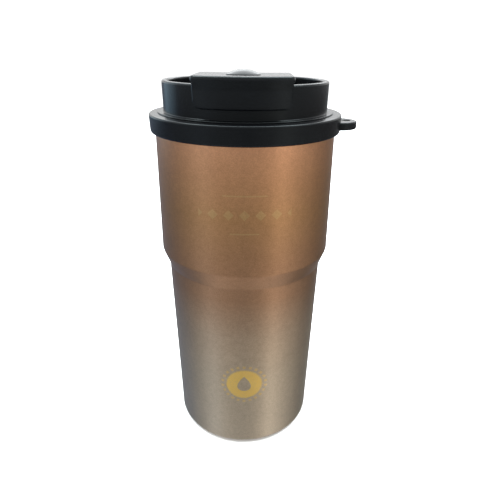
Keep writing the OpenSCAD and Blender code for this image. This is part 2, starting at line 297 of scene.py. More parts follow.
def ridge(root_r, crest_r, start_z):
    """Screw ridge round Z with a rounded crest, fading out at both ends."""
    steps_per_turn = 96
    fade_steps = 14
    root_half = 1.2
    crest_half = 0.5
    crest_round = 0.3
    crest_steps = 4
    least_reach = 0.05
    depth = abs(crest_r - root_r)
    way = 1 if crest_r > root_r else -1
    section = outline([(0, -root_half, 0), (depth, -crest_half, crest_round),
                       (depth, crest_half, crest_round), (0, root_half, 0)], crest_steps)
    steps = round(THREAD_TURNS * steps_per_turn)
    bm = bmesh.new()
    rings = []
    for i in range(steps + 1):
        turn = 2 * math.pi * i / steps_per_turn
        reach = max(least_reach, min(1, i / fade_steps, (steps - i) / fade_steps))
        reach = math.sin(reach * math.pi / 2)
        height = start_z + THREAD_PITCH * i / steps_per_turn
        ring = []
        for out, up in section:
            r = root_r + way * out * reach
            ring.append(bm.verts.new((r * math.cos(turn), r * math.sin(turn), height + up)))
        rings.append(ring)
    skin(bm, rings)
    bm.faces.new(rings[0])
    bm.faces.new(rings[-1])
    return solid(bm)


def moved(obj, offset, turn=None):
    """Turns a scratch solid, then shifts it."""
    obj.data.transform(Matrix.Translation(offset) @ (turn or Matrix.Identity(4)))
    return obj


def merge(target, tool, operation="UNION"):
    """Adds the tool to the target, or cuts it away with DIFFERENCE, and removes the tool."""
    modifier = target.modifiers.new("merge", "BOOLEAN")
    modifier.object = tool
    modifier.operation = operation
    modifier.solver = "EXACT"
    graph = bpy.context.evaluated_depsgraph_get()
    mesh = bpy.data.meshes.new_from_object(target.evaluated_get(graph))
    target.modifiers.clear()
    target.data = mesh
    bpy.data.objects.remove(tool)


def flare_curve(radius, flare, edge, inward):
    """Points from the rounded mouth of a hole into its bore. A mouth with no flare has none."""
    if flare == 0:
        return []
    widest = math.radians(82)
    steps = 6
    points = []
    for k in range(steps + 1):
        t = widest * (1 - k / steps)
        aside = flare * (1 - math.cos(t))
        points.append((radius + aside, edge + inward * flare * (1 - math.sin(t))))
    return points


def flared_hole(radius, low, high, flare_low=0, flare_high=0):
    """Tool that bores a hole and rounds the edges of its mouths."""
    spare = 1.0
    line = [(0, low - spare), (radius + flare_low, low - spare)]
    line += flare_curve(radius, flare_low, low, 1)
    line += reversed(flare_curve(radius, flare_high, high, -1))
    line += [(radius + flare_high, high + spare), (0, high + spare)]
    return turned([(r, z, 0) for r, z in line], steps=96)


def piece(obj, name, body, finish, replaces):
    """Turns a scratch solid into a finished piece of the tumbler."""
    weld = 1e-4
    sharp = math.radians(30)
    mesh = obj.data
    bm = bmesh.new()
    bm.from_mesh(mesh)
    bmesh.ops.remove_doubles(bm, verts=bm.verts, dist=weld)
    bmesh.ops.dissolve_degenerate(bm, edges=bm.edges, dist=weld)
    bmesh.ops.scale(bm, vec=(MM, MM, MM), verts=bm.verts)
    bm.to_mesh(mesh)
    bm.free()
    obj.name = name
    mesh.name = name
    mesh.materials.clear()
    mesh.materials.append(finish)
    mesh.shade_smooth()
    mesh.set_sharp_from_angle(angle=sharp)
    weighted = obj.modifiers.new("weighted_normals", "WEIGHTED_NORMAL")
    weighted.keep_sharp = True
    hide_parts(*replaces)
    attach(obj, body)


# ---------------------------------------------------------------- finishes

class Nodes:
    """A node tree, and short ways to add nodes to it."""

    def __init__(self, tree):
        self.tree = tree

    def node(self, kind, inputs=(), **settings):
        """New node. Each input is given as a socket to link or as a constant."""
        node = self.tree.nodes.new("ShaderNode" + kind)
        for key, value in settings.items():
            setattr(node, key, value)
        for key, value in dict(inputs).items():
            self.feed(node.inputs[key], value)
        return node

    def feed(self, socket, value):
        """Links a socket to an input, or sets the input to a constant."""
        if isinstance(value, bpy.types.NodeSocket):
            self.tree.links.new(value, socket)
        else:
            socket.default_value = value

    def math(self, operation, a, b=0.0, clamp=False):
        """Result of one operation."""
        node = self.node("Math", {0: a, 1: b}, operation=operation, use_clamp=clamp)
        return node.outputs[0]

    def spread(self, value, low, high):
        """Maps a 0 to 1 value onto low to high."""
        return self.math("ADD", self.math("MULTIPLY", value, high - low), low)

    def share(self, value, start, end):
        """How far a value has gone from start to end, from 0 to 1."""
        inputs = {"Value": value, "From Min": start, "From Max": end}
        return self.node("MapRange", inputs).outputs[0]

    def mix(self, share, a, b, blend="MIX"):
        """Colour a where the share is 0, and b blended over it where it is 1."""
        node = self.node("Mix", {0: share, 6: a, 7: b}, data_type="RGBA", blend_type=blend)
        return node.outputs[2]

    def ramp(self, value, stops, interpolation="LINEAR"):
        """Colour from stops (place, colour)."""
        node = self.node("ValToRGB", {0: value})
        node.color_ramp.interpolation = interpolation
        while len(node.color_ramp.elements) < len(stops):
            node.color_ramp.elements.new(0.5)
        for element, (place, colour) in zip(node.color_ramp.elements, stops):
            element.position = place
            element.color = (*colour, 1)
        return node.outputs[0]


class Finish(Nodes):
    """A material with its shader, and the patterns and reliefs in front of it."""

    def __init__(self, name, **values):
        self.material = bpy.data.materials.new(name)
        self.material.use_nodes = True
        super().__init__(self.material.node_tree)
        self.shader = self.tree.nodes["Principled BSDF"]
        for key, value in values.items():
            self.shader.inputs[key.replace("_", " ")].default_value = value
        self.coords = self.node("TexCoord").outputs["Object"]

    def place(self, x=1.0, y=1.0, z=1.0):
        """Object coordinates in millimetres, stretched by these factors."""
        scale = (x / MM, y / MM, z / MM)
        return self.node("Mapping", {"Vector": self.coords, "Scale": scale}).outputs[0]

    def noise(self, vector, scale, detail=2.0, roughness=0.5):
        """Cloudy value around 0.5; scale is in lumps per millimetre."""
        inputs = {"Vector": vector, "Scale": scale, "Detail": detail, "Roughness": roughness}
        return self.node("TexNoise", inputs).outputs[0]

    def cells(self, scale):
        """Random value from 0 to 1 for each small cell."""
        voronoi = self.node("TexVoronoi", {"Vector": self.place(), "Scale": scale})
        return self.node("SeparateColor", {0: voronoi.outputs["Color"]}).outputs[0]

    def cell_distance(self, scale):
        """Distance from the middle of each cell."""
        voronoi = self.node("TexVoronoi", {"Vector": self.place(), "Scale": scale})
        return voronoi.outputs["Distance"]

    def bump(self, height, strength, distance):
        """Adds relief; distance is in millimetres."""
        inputs = {"Height": height, "Strength": strength, "Distance": distance * MM}
        node = self.node("Bump", inputs)
        before = self.shader.inputs["Normal"]
        if before.is_linked:
            self.feed(node.inputs["Normal"], before.links[0].from_socket)
        self.feed(before, node.outputs[0])

    def set(self, name, value):
        """Feeds an input of the shader."""
        self.feed(self.shader.inputs[name], value)


def grey(value):
    """Neutral colour."""
    return (value, value, value, 1)


def shell_paint():
    """Satin metallic paint, copper at the top fading to champagne grey, with a small gold mark."""
    trim_gold = (0.56, 0.43, 0.18, 1)
    mark_gold = (0.95, 0.62, 0.09, 1)
    trim_strength = 0.4
    mark_dulling = 0.08
    f = Finish("shell_paint", Metallic=0.95, Coat_Weight=0.2, Coat_Roughness=0.2)
    x, y, z = f.node("SeparateXYZ", {0: f.place()}).outputs
    tone = f.ramp(f.math("DIVIDE", z, CUP_H), PAINT_TONES)
    flakes = f.cells(3.2)
    mottle = f.noise(f.place(), 0.45, detail=3, roughness=0.6)
    drift = f.noise(f.place(), 0.07, detail=2)
    light = f.math("MULTIPLY", f.spread(flakes, 0.9, 1.1), f.spread(mottle, 0.86, 1.14))
    light = f.math("MULTIPLY", light, f.spread(drift, 0.93, 1.07))
    scale = f.node("CombineColor", {0: light, 1: light, 2: light}).outputs[0]
    paint = f.mix(1.0, tone, scale, "MULTIPLY")
    front = f.math("LESS_THAN", y, 0.0)
    aside = f.math("SUBTRACT", x, MARK_X)
    mark = f.math("MULTIPLY", gold_mark(f, aside, z), front)
    trim = f.math("MULTIPLY", faint_trim(f, aside, z), front)
    wear = f.spread(f.noise(f.place(), 1.6, detail=4, roughness=0.7), 0.35, 0.95)
    faint = f.math("MULTIPLY", wear, trim_strength)
    paint = f.mix(f.math("MULTIPLY", trim, faint), paint, trim_gold)
    paint = f.mix(f.math("MULTIPLY", mark, wear), paint, mark_gold)
    f.set("Base Color", paint)
    dulled = f.math("MULTIPLY", mark, mark_dulling)
    f.set("Roughness", f.math("ADD", f.spread(flakes, 0.29, 0.35), dulled))
    f.bump(f.noise(f.place(), 2.4, detail=3, roughness=0.6), strength=0.10, distance=0.04)
    f.bump(flakes, strength=0.03, distance=0.01)
    return f.material


def gold_mark(f, x, z):
    """1 inside a plain mark low on the front: a disc with a drop left out of it and short rays."""
    centre_z = 40.0
    disc_r = 9.2
    drop_h = 9.0
    drop_w = 8.6
    drop_rise = 0.4
    ray_low = 9.9
    ray_high = 11.3
    ray_count = 22
    ray_gap = 0.1
    ray_strength = 0.45
    worn = 0.5
    up = f.math("SUBTRACT", z, centre_z)
    away = f.math("SQRT", f.math("ADD", f.math("POWER", x, 2.0), f.math("POWER", up, 2.0)))
    rough_edge = f.spread(f.noise(f.place(), 1.2, detail=3), -worn, worn)
    worn_away = f.math("ADD", away, rough_edge)
    disc = f.math("SUBTRACT", disc_r, worn_away, clamp=True)
    off_ring = f.math("ABSOLUTE", f.math("SUBTRACT", worn_away, (ray_low + ray_high) / 2))
    on_ring = f.math("LESS_THAN", off_ring, (ray_high - ray_low) / 2)
    turns = f.math("MULTIPLY", f.math("ARCTAN2", x, up), ray_count)
    on_ray = f.math("GREATER_THAN", f.math("COSINE", turns), ray_gap)
    rays = f.math("MULTIPLY", f.math("MULTIPLY", on_ring, on_ray), ray_strength)
    climb = f.math("DIVIDE", f.math("ADD", up, drop_h / 2 - drop_rise), drop_h, clamp=True)
    width = f.math("MULTIPLY", f.math("SQRT", climb), f.math("SUBTRACT", 1.0, climb))
    outside = f.math("GREATER_THAN", f.math("ABSOLUTE", x), f.math("MULTIPLY", width, drop_w))
    return f.math("MAXIMUM", f.math("MULTIPLY", disc, outside), rays)


def faint_trim(f, x, z):
    """1 inside a plain ornament high on the front: a row of lozenges between two thin lines."""
    lines = [(137.5, 9.0), (121.5, 6.0)]
    line_half_h = 0.3
    row_z = 129.5
    row_half_w = 19.0
    half_pitch = 3.25
    lozenge_half = 2.2
    aside = f.math("ABSOLUTE", x)
    along = f.math("PINGPONG", f.math("ADD", x, half_pitch), half_pitch)
    off_row = f.math("ABSOLUTE", f.math("SUBTRACT", z, row_z))
    away = f.math("ADD", f.math("SUBTRACT", half_pitch, along), off_row)
    in_row = f.math("LESS_THAN", aside, row_half_w)
    total = f.math("MULTIPLY", f.math("LESS_THAN", away, lozenge_half), in_row)
    for height, half_w in lines:
        off_line = f.math("ABSOLUTE", f.math("SUBTRACT", z, height))
        near = f.math("LESS_THAN", off_line, line_half_h)
        line = f.math("MULTIPLY", near, f.math("LESS_THAN", aside, half_w))
        total = f.math("MAXIMUM", total, line)
    return total


def lid_plastic():
    """Gloss black moulded plastic with faint flow marks and fine handling scratches."""
    f = Finish("lid_plastic", Specular_IOR_Level=0.18, Specular_Tint=(0.87, 0.98, 1.0, 1))
    cloud = f.noise(f.place(), 0.12, detail=3)
    f.set("Base Color", f.mix(cloud, (0.0014, 0.0016, 0.0022, 1), (0.0028, 0.0030, 0.0038, 1)))
    scratch = f.noise(f.place(0.5, 0.5, 9.0), 1.0, detail=4, roughness=0.7)
    f.set("Roughness", f.math("ADD", f.spread(cloud, 0.2, 0.28), f.spread(scratch, -0.03, 0.03)))
    f.bump(f.noise(f.place(), 1.3, detail=3, roughness=0.55), strength=0.05, distance=0.05)
    f.bump(scratch, strength=0.02, distance=0.02)
    return f.material


def plug_plastic():
    """Satin black plastic with a fine moulded grain."""
    f = Finish("plug_plastic", Specular_IOR_Level=0.4)
    cloud = f.noise(f.place(), 0.15, detail=3)
    f.set("Base Color", f.mix(cloud, (0.014, 0.014, 0.016, 1), (0.022, 0.022, 0.024, 1)))
    f.set("Roughness", f.spread(f.noise(f.place(), 2.0, detail=3), 0.38, 0.52))
    f.bump(f.noise(f.place(), 3.5, detail=3, roughness=0.6), strength=0.15, distance=0.06)
    return f.material


def brushed_steel():
    """Stainless steel brushed round the cup's axis."""
    f = Finish("steel", Metallic=1.0)
    lines = f.noise(f.place(0.06, 0.06, 9.0), 1.0, detail=5, roughness=0.7)
    cloud = f.noise(f.place(), 0.08, detail=3)
    tone = f.mix(cloud, (0.50, 0.50, 0.50, 1), (0.62, 0.61, 0.60, 1))
    f.set("Base Color", f.mix(f.math("MULTIPLY", lines, 0.5), tone, grey(0.40)))
    f.set("Roughness", f.spread(lines, 0.2, 0.42))
    f.bump(lines, strength=0.12, distance=0.03)
    return f.material


def pin_steel():
    """Drawn steel pin, with lines along its length."""
    f = Finish("pin_steel", Metallic=1.0)
    lines = f.noise(f.place(0.2, 8.0, 8.0), 1.0, detail=4, roughness=0.6)
    f.set("Base Color", f.mix(lines, grey(0.46), grey(0.6)))
    f.set("Roughness", f.spread(lines, 0.18, 0.34))
    f.bump(lines, strength=0.1, distance=0.02)
    return f.material


def silicone():
    """Soft grey silicone with a dusty sheen."""
    f = Finish("silicone", Subsurface_Weight=0.08, Subsurface_Scale=0.001, Sheen_Weight=0.15)
    cloud = f.noise(f.place(), 0.3, detail=3)
    f.set("Base Color", f.mix(cloud, (0.085, 0.09, 0.095, 1), (0.13, 0.135, 0.14, 1)))
    f.set("Roughness", f.spread(f.noise(f.place(), 2.5, detail=3), 0.5, 0.68))
    f.bump(f.noise(f.place(), 4.0, detail=2), strength=0.1, distance=0.04)
    return f.material


def pad_rubber():
    """Matt black non-slip pad with a fine grain and dust in it."""
    f = Finish("pad_rubber", Specular_IOR_Level=0.35)
    grain = f.cells(2.2)
    dust = f.noise(f.place(), 0.2, detail=5, roughness=0.65)
    f.set("Base Color", f.mix(dust, (0.022, 0.022, 0.023, 1), (0.052, 0.050, 0.048, 1)))
    f.set("Roughness", f.spread(grain, 0.72, 0.9))
    f.bump(grain, strength=0.35, distance=0.08)
    return f.material


def foam():
    """Pale closed-cell foam."""
    f = Finish("foam", Roughness=0.9)
    cells = f.cell_distance(1.4)
    f.set("Base Color", f.mix(cells, (0.86, 0.86, 0.83, 1), (0.68, 0.67, 0.63, 1)))
    f.bump(cells, strength=0.6, distance=0.3)
    return f.material


def copper_foil():
    """Thin bright foil, crinkled by hand."""
    f = Finish("foil", Metallic=1.0)
    creases = f.cell_distance(0.16)
    fine = f.noise(f.place(), 0.5, detail=4, roughness=0.6)
    f.set("Base Color", f.mix(fine, (0.78, 0.58, 0.42, 1), (0.86, 0.68, 0.52, 1)))
    f.set("Roughness", f.spread(fine, 0.16, 0.3))
    f.bump(creases, strength=0.5, distance=0.6)
    f.bump(fine, strength=0.25, distance=0.2)
    return f.material


def solder():
    """Dull solder with a frosty skin."""
    f = Finish("solder", Metallic=1.0)
    skin_noise = f.noise(f.place(), 1.8, detail=4, roughness=0.65)
    f.set("Base Color", f.mix(skin_noise, grey(0.36), grey(0.55)))
    f.set("Roughness", f.spread(skin_noise, 0.35, 0.6))
    f.bump(skin_noise, strength=0.4, distance=0.15)
    return f.material


def getter_pellet():
    """Pressed and sintered grey powder."""
    f = Finish("getter_pellet", Metallic=0.3)
    powder = f.cells(5.0)
    f.set("Base Color", f.mix(powder, grey(0.12), grey(0.26)))
    f.set("Roughness", f.spread(powder, 0.7, 0.95))
    f.bump(powder, strength=0.6, distance=0.1)
    return f.material


# ---------------------------------------------------------------- cup

def make_shell(finish):
    """Stepped outer wall, turned in under the base and drawn in at the mouth."""
    foot = shell_low.z
    top = shell_high.z
    pad_gap = 0.2
    in_r = PAD_R + pad_gap
    neck_r = MOUTH_R - LINER_INSET
    wall = turned([
        (in_r, foot, 0),
        (BASE_R, foot, BASE_ROUND),
        (WAIST_R, SHOULDER_Z, SHOULDER_ROUND),
        (BARREL_R, BARREL_Z, SHOULDER_ROUND),
        (MOUTH_R, top, MOUTH_ROUND),
        (neck_r, top, 0),
        (neck_r, top - SHELL_T, 0),
        (MOUTH_R - SHELL_T, top - SHELL_T, MOUTH_ROUND - SHELL_T),
        (BARREL_R - SHELL_T, BARREL_Z, SHOULDER_ROUND - SHELL_T),
        (WAIST_R - SHELL_T, SHOULDER_Z, SHOULDER_ROUND + SHELL_T),
        (BASE_R - SHELL_T, foot + SHELL_T, BASE_ROUND - SHELL_T),
        (in_r, foot + SHELL_T, 0)], steps=256, curve_steps=12)
    piece(wall, "shell_wall", "cup", finish, ["outer_shell"])


def wall_r(z):
    """Outer radius of the shell's straight stretches at a height."""
    bends = [(0, BASE_R), (SHOULDER_Z, WAIST_R), (BARREL_Z, BARREL_R), (CUP_H, MOUTH_R)]
    for (z0, r0), (z1, r1) in zip(bends, bends[1:]):
        if z <= z1:
            return r0 + (r1 - r0) * (z - z0) / (z1 - z0)
    return MOUTH_R


def make_liner(finish):
    """Drinking vessel with a rolled mouth and the cup's thread in its neck."""
    far = LINER_INSET
    near = LINER_INSET + LINER_T
    lip_t = 0.3
    lip_w = 1.8
    lip_round = 0.12
    mouth_round = 0.5
    rim_under = CUP_H - lip_t
    lip_r = MOUTH_R - near + lip_w
    floor_r = wall_r(LINER_FLOOR)
    vessel = turned([
        (0, LINER_FLOOR, 0),
        (floor_r - far, LINER_FLOOR, LINER_ROUND),
        (WAIST_R - far, SHOULDER_Z, SHOULDER_ROUND),
        (BARREL_R - far, BARREL_Z, SHOULDER_ROUND),
        (MOUTH_R - far, rim_under, 0),
        (lip_r, rim_under, 0),
        (lip_r, CUP_H, lip_round),
        (MOUTH_R - near, CUP_H, mouth_round),
        (BARREL_R - near, BARREL_Z, SHOULDER_ROUND),
        (WAIST_R - near, SHOULDER_Z, SHOULDER_ROUND),
        (floor_r - near, LINER_FLOOR + LINER_T, LINER_ROUND - LINER_T),
        (0, LINER_FLOOR + LINER_T, 0)], steps=256, curve_steps=12)
    root_r = wall_r(THREAD_Z) - near + LINER_T / 2
    crest_r = PLUG_R + THREAD_DEPTH + THREAD_CLEAR
    merge(vessel, ridge(root_r, crest_r, THREAD_Z + THREAD_PITCH / 2))
    piece(vessel, "liner_vessel", "cup", finish, ["inner_liner"])


def make_pad(finish):
    """Non-slip pad with moulded grooves in the face that it stands on."""
    groove_middles = [8.0, 12.0, 16.0, 20.0, 24.0]
    groove_half = 0.7
    groove_depth = 0.45
    groove_draft = 0.1
    groove_round = 0.15
    hub_r = 5.0
    hub_round = 0.2
    rim_round = 0.4
    corners = [(0, groove_depth, 0), (hub_r, groove_depth, hub_round), (hub_r, 0, groove_round)]
    for r in groove_middles:
        corners += [(r - groove_half, 0, groove_round),
                    (r - groove_half + groove_draft, groove_depth, groove_round),
                    (r + groove_half - groove_draft, groove_depth, groove_round),
                    (r + groove_half, 0, groove_round)]
    corners += [(PAD_R, 0, rim_round), (PAD_R, pad_high.z, 0), (0, pad_high.z, 0)]
    pad = turned(corners, steps=160, curve_steps=4)
    piece(pad, "foot_pad", "cup", finish, ["base_pad"])


# ---------------------------------------------------------------- lid

def make_collar(finish):
    """Overhanging collar with its lanyard eye."""
    low = collar_low.z
    top = collar_high.z
    skirt_r = MOUTH_R + 0.55
    recess_r = MOUTH_R - 0.4
    hole_r = RING_R + 0.1
    under = CUP_H + 0.6
    recess_top = CUP_H + 1.85
    draft = 0.3
    fall = 0.4
    skirt_round = 0.3
    foot_round = 1.2
    edge_round = 0.75
    hole_round = 0.2
    eye_round = 0.7
    eye_flare = 0.5
    eye_root_sink = 0.9
    body = turned([
        (skirt_r, low, skirt_round),
        (COLLAR_R - draft, low, foot_round),
        (COLLAR_R, top - fall, edge_round),
        (hole_r, top, hole_round),
        (hole_r, recess_top, 0),
        (recess_r, recess_top, 0),
        (recess_r, under, 0),
        (skirt_r, under, 0)], steps=256, curve_steps=10)
    eye_low = EYE_TOP - EYE_T
    eye = bar(EYE_R, eye_low, EYE_TOP, eye_round, eye_round, steps=128)
    moved(eye, (EYE_X, 0, 0))
    merge(eye, bar(COLLAR_R - eye_root_sink, low - 1, top), "DIFFERENCE")
    hole = flared_hole(EYE_HOLE_R, eye_low, EYE_TOP, eye_flare, eye_flare)
    merge(eye, moved(hole, (EYE_HOLE_X, 0, 0)), "DIFFERENCE")
    merge(body, eye)
    piece(body, "collar_body", "lid", finish, ["lid_collar"])


def make_top(finish):
    """Raised ring with the well inside it, the two holes and the hinge ears."""
    in_r = RING_R - RING_T
    foot = top_low.z
    seat = collar_high.z
    under = WELL_Z - WELL_T
    step_w = 2.6
    step_h = 0.35
    step_sink = 0.02
    step_round = 0.3
    rim_round = 0.9
    well_round = 1.2
    ring = turned([
        (0, under, 0),
        (in_r - FIT_GAP, under, 0),
        (in_r - FIT_GAP, foot, 0),
        (RING_R, foot, 0),
        (RING_R, seat - step_sink, 0),
        (RING_R + step_w, seat - step_sink, 0),
        (RING_R + step_w, seat + step_h, step_round),
        (RING_R, seat + step_h, step_round),
        (RING_R, RIM_Z, rim_round),
        (in_r, RIM_Z, rim_round),
        (in_r, WELL_Z, well_round),
        (0, WELL_Z, 0)], steps=256, curve_steps=10)
    for side in (-1, 1):
        merge(ring, make_ear(side))
    for radius, y, flare in ((DRINK_R, DRINK_Y, 0.6), (VENT_R, VENT_Y, 0.3)):
        hole = flared_hole(radius, under, WELL_Z, 0, flare)
        merge(ring, moved(hole, (0, y, 0)), "DIFFERENCE")
    merge(ring, pin_bore(), "DIFFERENCE")
    piece(ring, "ring_top", "lid", finish, ["lid_top"])


def along_hinge(radius, length, rounding):
    """Round bar on the hinge axis."""
    rod = bar(radius, -length / 2, length / 2, rounding, rounding, steps=96)
    return moved(rod, HINGE, Matrix.Rotation(math.pi / 2, 4, "Y"))


def pin_bore():
    """Tool that bores the hinge, with room for the pin to turn."""
    return along_hinge(PIN_R + FIT_GAP, 2 * KNUCKLE_W, 0)


def make_ear(side):
    """One of the two ears that hold the hinge pin, standing in the well."""
    sink = 0.5
    edge = 0.35
    steps = 48
    foot = WELL_Z - sink
    line = [Vector((HINGE.y + EAR_R, foot))]
    for k in range(steps + 1):
        t = math.pi * k / steps
        line.append(Vector((HINGE.y + EAR_R * math.cos(t), HINGE.z + EAR_R * math.sin(t))))
    line.append(Vector((HINGE.y - EAR_R, foot)))
    near = KNUCKLE_W / 2 + EAR_GAP
    ear = plate(line, near, near + EAR_W, edge, cap_rings=4)
    upright = Matrix(((0, 0, side, 0), (1, 0, 0, 0), (0, 1, 0, 0), (0, 0, 0, 1)))
    moved(ear, (0, 0, 0), upright)
    if side < 0:
        ear.data.flip_normals()
    return ear


def make_plug(finish):
    """Threaded insulating plug with the drink and air passages."""
    low = plug_low.z
    top = plug_high.z
    in_r = PLUG_R - PLUG_WALL
    tube_r = DRINK_R + 1.8
    tube_top = WELL_Z - WELL_T - 1.5
    vent_tube_r = VENT_R + 1.1
    tube_sink = 1.0
    groove_in_r = 26.0
    groove_out_r = 29.0
    groove_draft = 0.6
    groove_depth = 0.5
    small_round = 0.2
    foot_round = 1.5
    floor_round = 1.0
    thread_sink = 0.4
    plug = turned([
        (0, low, 0),
        (groove_in_r, low, small_round),
        (groove_in_r + groove_draft, low + groove_depth, small_round),
        (groove_out_r - groove_draft, low + groove_depth, small_round),
        (groove_out_r, low, small_round),
        (PLUG_R, low, foot_round),
        (PLUG_R, top, small_round),
        (in_r, top, 0),
        (in_r, low + PLUG_FLOOR_T, floor_round),
        (0, low + PLUG_FLOOR_T, 0)], steps=256)
    for radius, y, high in ((tube_r, DRINK_Y, tube_top), (vent_tube_r, VENT_Y, top)):
        tube = bar(radius, low + tube_sink, high, 0, small_round, steps=96)
        merge(plug, moved(tube, (0, y, 0)))
    merge(plug, ridge(PLUG_R - thread_sink, PLUG_R + THREAD_DEPTH, THREAD_Z))
    for radius, y, high, flare in ((DRINK_R, DRINK_Y, tube_top, 0.7), (VENT_R, VENT_Y, top, 0.4)):
        hole = flared_hole(radius, low, high, flare, 0)
        merge(plug, moved(hole, (0, y, 0)), "DIFFERENCE")
    piece(plug, "plug_body", "lid", finish, ["lid_plug"])


def make_gasket(finish):
    """Silicone ring with two soft ribs against the cup's rim."""
    low = gasket_low.z
    high = gasket_high.z
    in_r = RING_R + 0.3
    out_r = gasket_high.x
    rib_w = (out_r - in_r) / 3
    rib_foot = 1.25 * rib_w
    rib_h = 0.5
    rib_round = 0.35
    small_round = 0.2
    gasket = turned([
        (in_r, low, rib_round),
        (in_r + rib_w, low, rib_round),
        (in_r + rib_foot, low + rib_h, small_round),
        (out_r - rib_foot, low + rib_h, small_round),
        (out_r - rib_w, low, rib_round),
        (out_r, low, rib_round),
        (out_r, high, small_round),
        (in_r, high, small_round)], curve_steps=6)
    piece(gasket, "rim_gasket", "mouth_seal", finish, ["lid_gasket"])


# ---------------------------------------------------------------- flap

def flap_line():
    """The flap seen from above: round front with soft corners, sides that narrow to the hinge."""
    corner_r = 3.0
    front_steps = 28
    corner_steps = 8
    side_steps = 12
    side_y = -20.0
    waist_y = -8.0
    waist_round = 8.0
    neck_y = 7.0
    neck_round = 3.0
    reach = LIP_R - corner_r
    corner_x = FLAP_HALF - corner_r
    turn = math.asin(corner_x / reach)
    centre = Vector((corner_x, -math.sqrt(reach ** 2 - corner_x ** 2)))
    half = []
    for k in range(front_steps + 1):
        t = turn * k / front_steps
        half.append(LIP_R * Vector((math.sin(t), -math.cos(t))))
    for k in range(1, corner_steps + 1):
        t = turn + (math.pi / 2 - turn) * k / corner_steps
        half.append(centre + corner_r * Vector((math.sin(t), -math.cos(t))))
    neck = KNUCKLE_W / 2 - FIT_GAP
    rear = HINGE.y + 1
    bends = [Vector(p) for p in ((FLAP_HALF, centre.y), (FLAP_HALF, waist_y),
                                 (neck, neck_y), (neck, rear))]
    half.append(Vector((FLAP_HALF, side_y)))
    for i, rounding in ((1, waist_round), (2, neck_round)):
        half += corner_arc(bends[i - 1], bends[i], bends[i + 1], rounding, side_steps)
    half.append(Vector((neck, rear)))
    mirror = [Vector((-p.x, p.y)) for p in reversed(half[1:])]
    return half + mirror


def flap_dip(p):
    """How far the flap's top dips: a thumb dish round the stopper's head, and a slope behind it."""
    depth = 0.6
    half_x = 15.5
    half_y = 13.0
    ease = 1.5
    away = math.sqrt((p.x / half_x) ** 2 + ((p.y - DRINK_Y) / half_y) ** 2)
    dish = depth * math.cos(min(away, 1) * math.pi / 2) ** 2
    behind = max(0.0, p.y - SLOPE_FROM_Y)
    return dish + SLOPE * behind ** 2 / (behind + ease)


def make_hood():
    """Curved plate that hangs in front of the ring, with soft lower corners and round edges."""
    low = flap_low.z
    top = FLAP_UNDER + 1.4
    top_half = FLAP_HALF - 0.5
    low_half = top_half - 0.4
    corner = 3.0
    corner_steps = 16
    side_steps = 20
    flare = 0.58
    flare_from = FLAP_UNDER - 2.4
    flare_to = FLAP_UNDER + 1.0
    half_t = HOOD_T / 2
    least_edge = 0.02
    middle_r = HOOD_OUT_R - half_t
    columns = 48
    end_steps = 8
    climbs = [corner * (1 - math.cos(math.pi / 2 * k / corner_steps))
              for k in range(corner_steps + 1)]
    climbs += [corner + (top - low - corner) * k / side_steps for k in range(1, side_steps + 1)]
    bm = bmesh.new()
    rings = []
    for climb in climbs:
        edge = half_t
        if climb < half_t:
            edge = max(least_edge, math.sqrt(half_t ** 2 - (half_t - climb) ** 2))
        half = low_half + (top_half - low_half) * climb / (top - low)
        if climb < corner:
            half -= corner - math.sqrt(corner ** 2 - (corner - climb) ** 2)
        reach = math.asin((half - edge) / middle_r)
        part = max(0.0, min(1.0, (low + climb - flare_from) / (flare_to - flare_from)))
        spread = flare * part * part * (3 - 2 * part)
        ring = []
        for side in (1, -1):
            r = middle_r + side * edge + (spread if side > 0 else 0)
            for k in range(columns + 1):
                turn = side * reach * (1 - 2 * k / columns)
                ring.append((r * math.sin(turn), -r * math.cos(turn)))
            out = Vector((math.sin(-side * reach), -math.cos(reach)))
            along = Vector((-side * math.cos(reach), math.sin(side * reach)))
            for k in range(1, end_steps):
                t = math.pi * k / end_steps
                p = out * (middle_r + side * edge * math.cos(t)) + along * edge * math.sin(t)
                ring.append((p.x, p.y))
        rings.append([bm.verts.new((x, y, low + climb)) for x, y in ring])
    skin(bm, rings)
    bm.faces.new(rings[0])
    bm.faces.new(rings[-1])
    return solid(bm)


def slope_cut():
    """Tool that slopes the flap's top down towards the hinge, a little behind the dish."""
    size = 40
    behind = 1.5
    cube = bmesh.new()
    bmesh.ops.create_cube(cube, size=size)
    tilt = Matrix.Rotation(-math.atan(SLOPE), 4, "X")
    stand = Matrix.Translation((0, size / 2, size / 2))
    return moved(solid(cube), (0, SLOPE_FROM_Y + behind, FLAP_TOP), tilt @ stand)


def make_flap(finish):
    """Top plate with its dished thumb rest, the hood, the stopper bosses and the knuckle."""
    edge = 1.1
    knuckle_round = 0.5
    boss_round = 0.4
    boss_foot_round = 0.7
    boss_foot_w = 1.0
    sink = 0.6
    flap = plate(flap_line(), FLAP_UNDER, FLAP_TOP, edge, cap_rings=24, drop=flap_dip)
    merge(flap, make_hood())
    merge(flap, along_hinge(KNUCKLE_R, KNUCKLE_W, knuckle_round))
    merge(flap, slope_cut(), "DIFFERENCE")
    for radius, y in ((BOSS_R, DRINK_Y), (VENT_BOSS_R, VENT_Y)):
        boss = turned([
            (0, BOSS_Z, 0),
            (radius, BOSS_Z, boss_round),
            (radius, FLAP_UNDER, boss_foot_round),
            (radius + boss_foot_w, FLAP_UNDER, 0),
            (radius + boss_foot_w, FLAP_UNDER + sink, 0),
            (0, FLAP_UNDER + sink, 0)], steps=96)
        merge(flap, moved(boss, (0, y, 0)))
    merge(flap, pin_bore(), "DIFFERENCE")
    stem = bar(STEM_R + FIT_GAP, BOSS_Z - 1, FLAP_TOP + 1, steps=64)
    merge(flap, moved(stem, (0, DRINK_Y, 0)), "DIFFERENCE")
    piece(flap, "flap_body", "flap", finish, ["flap"])


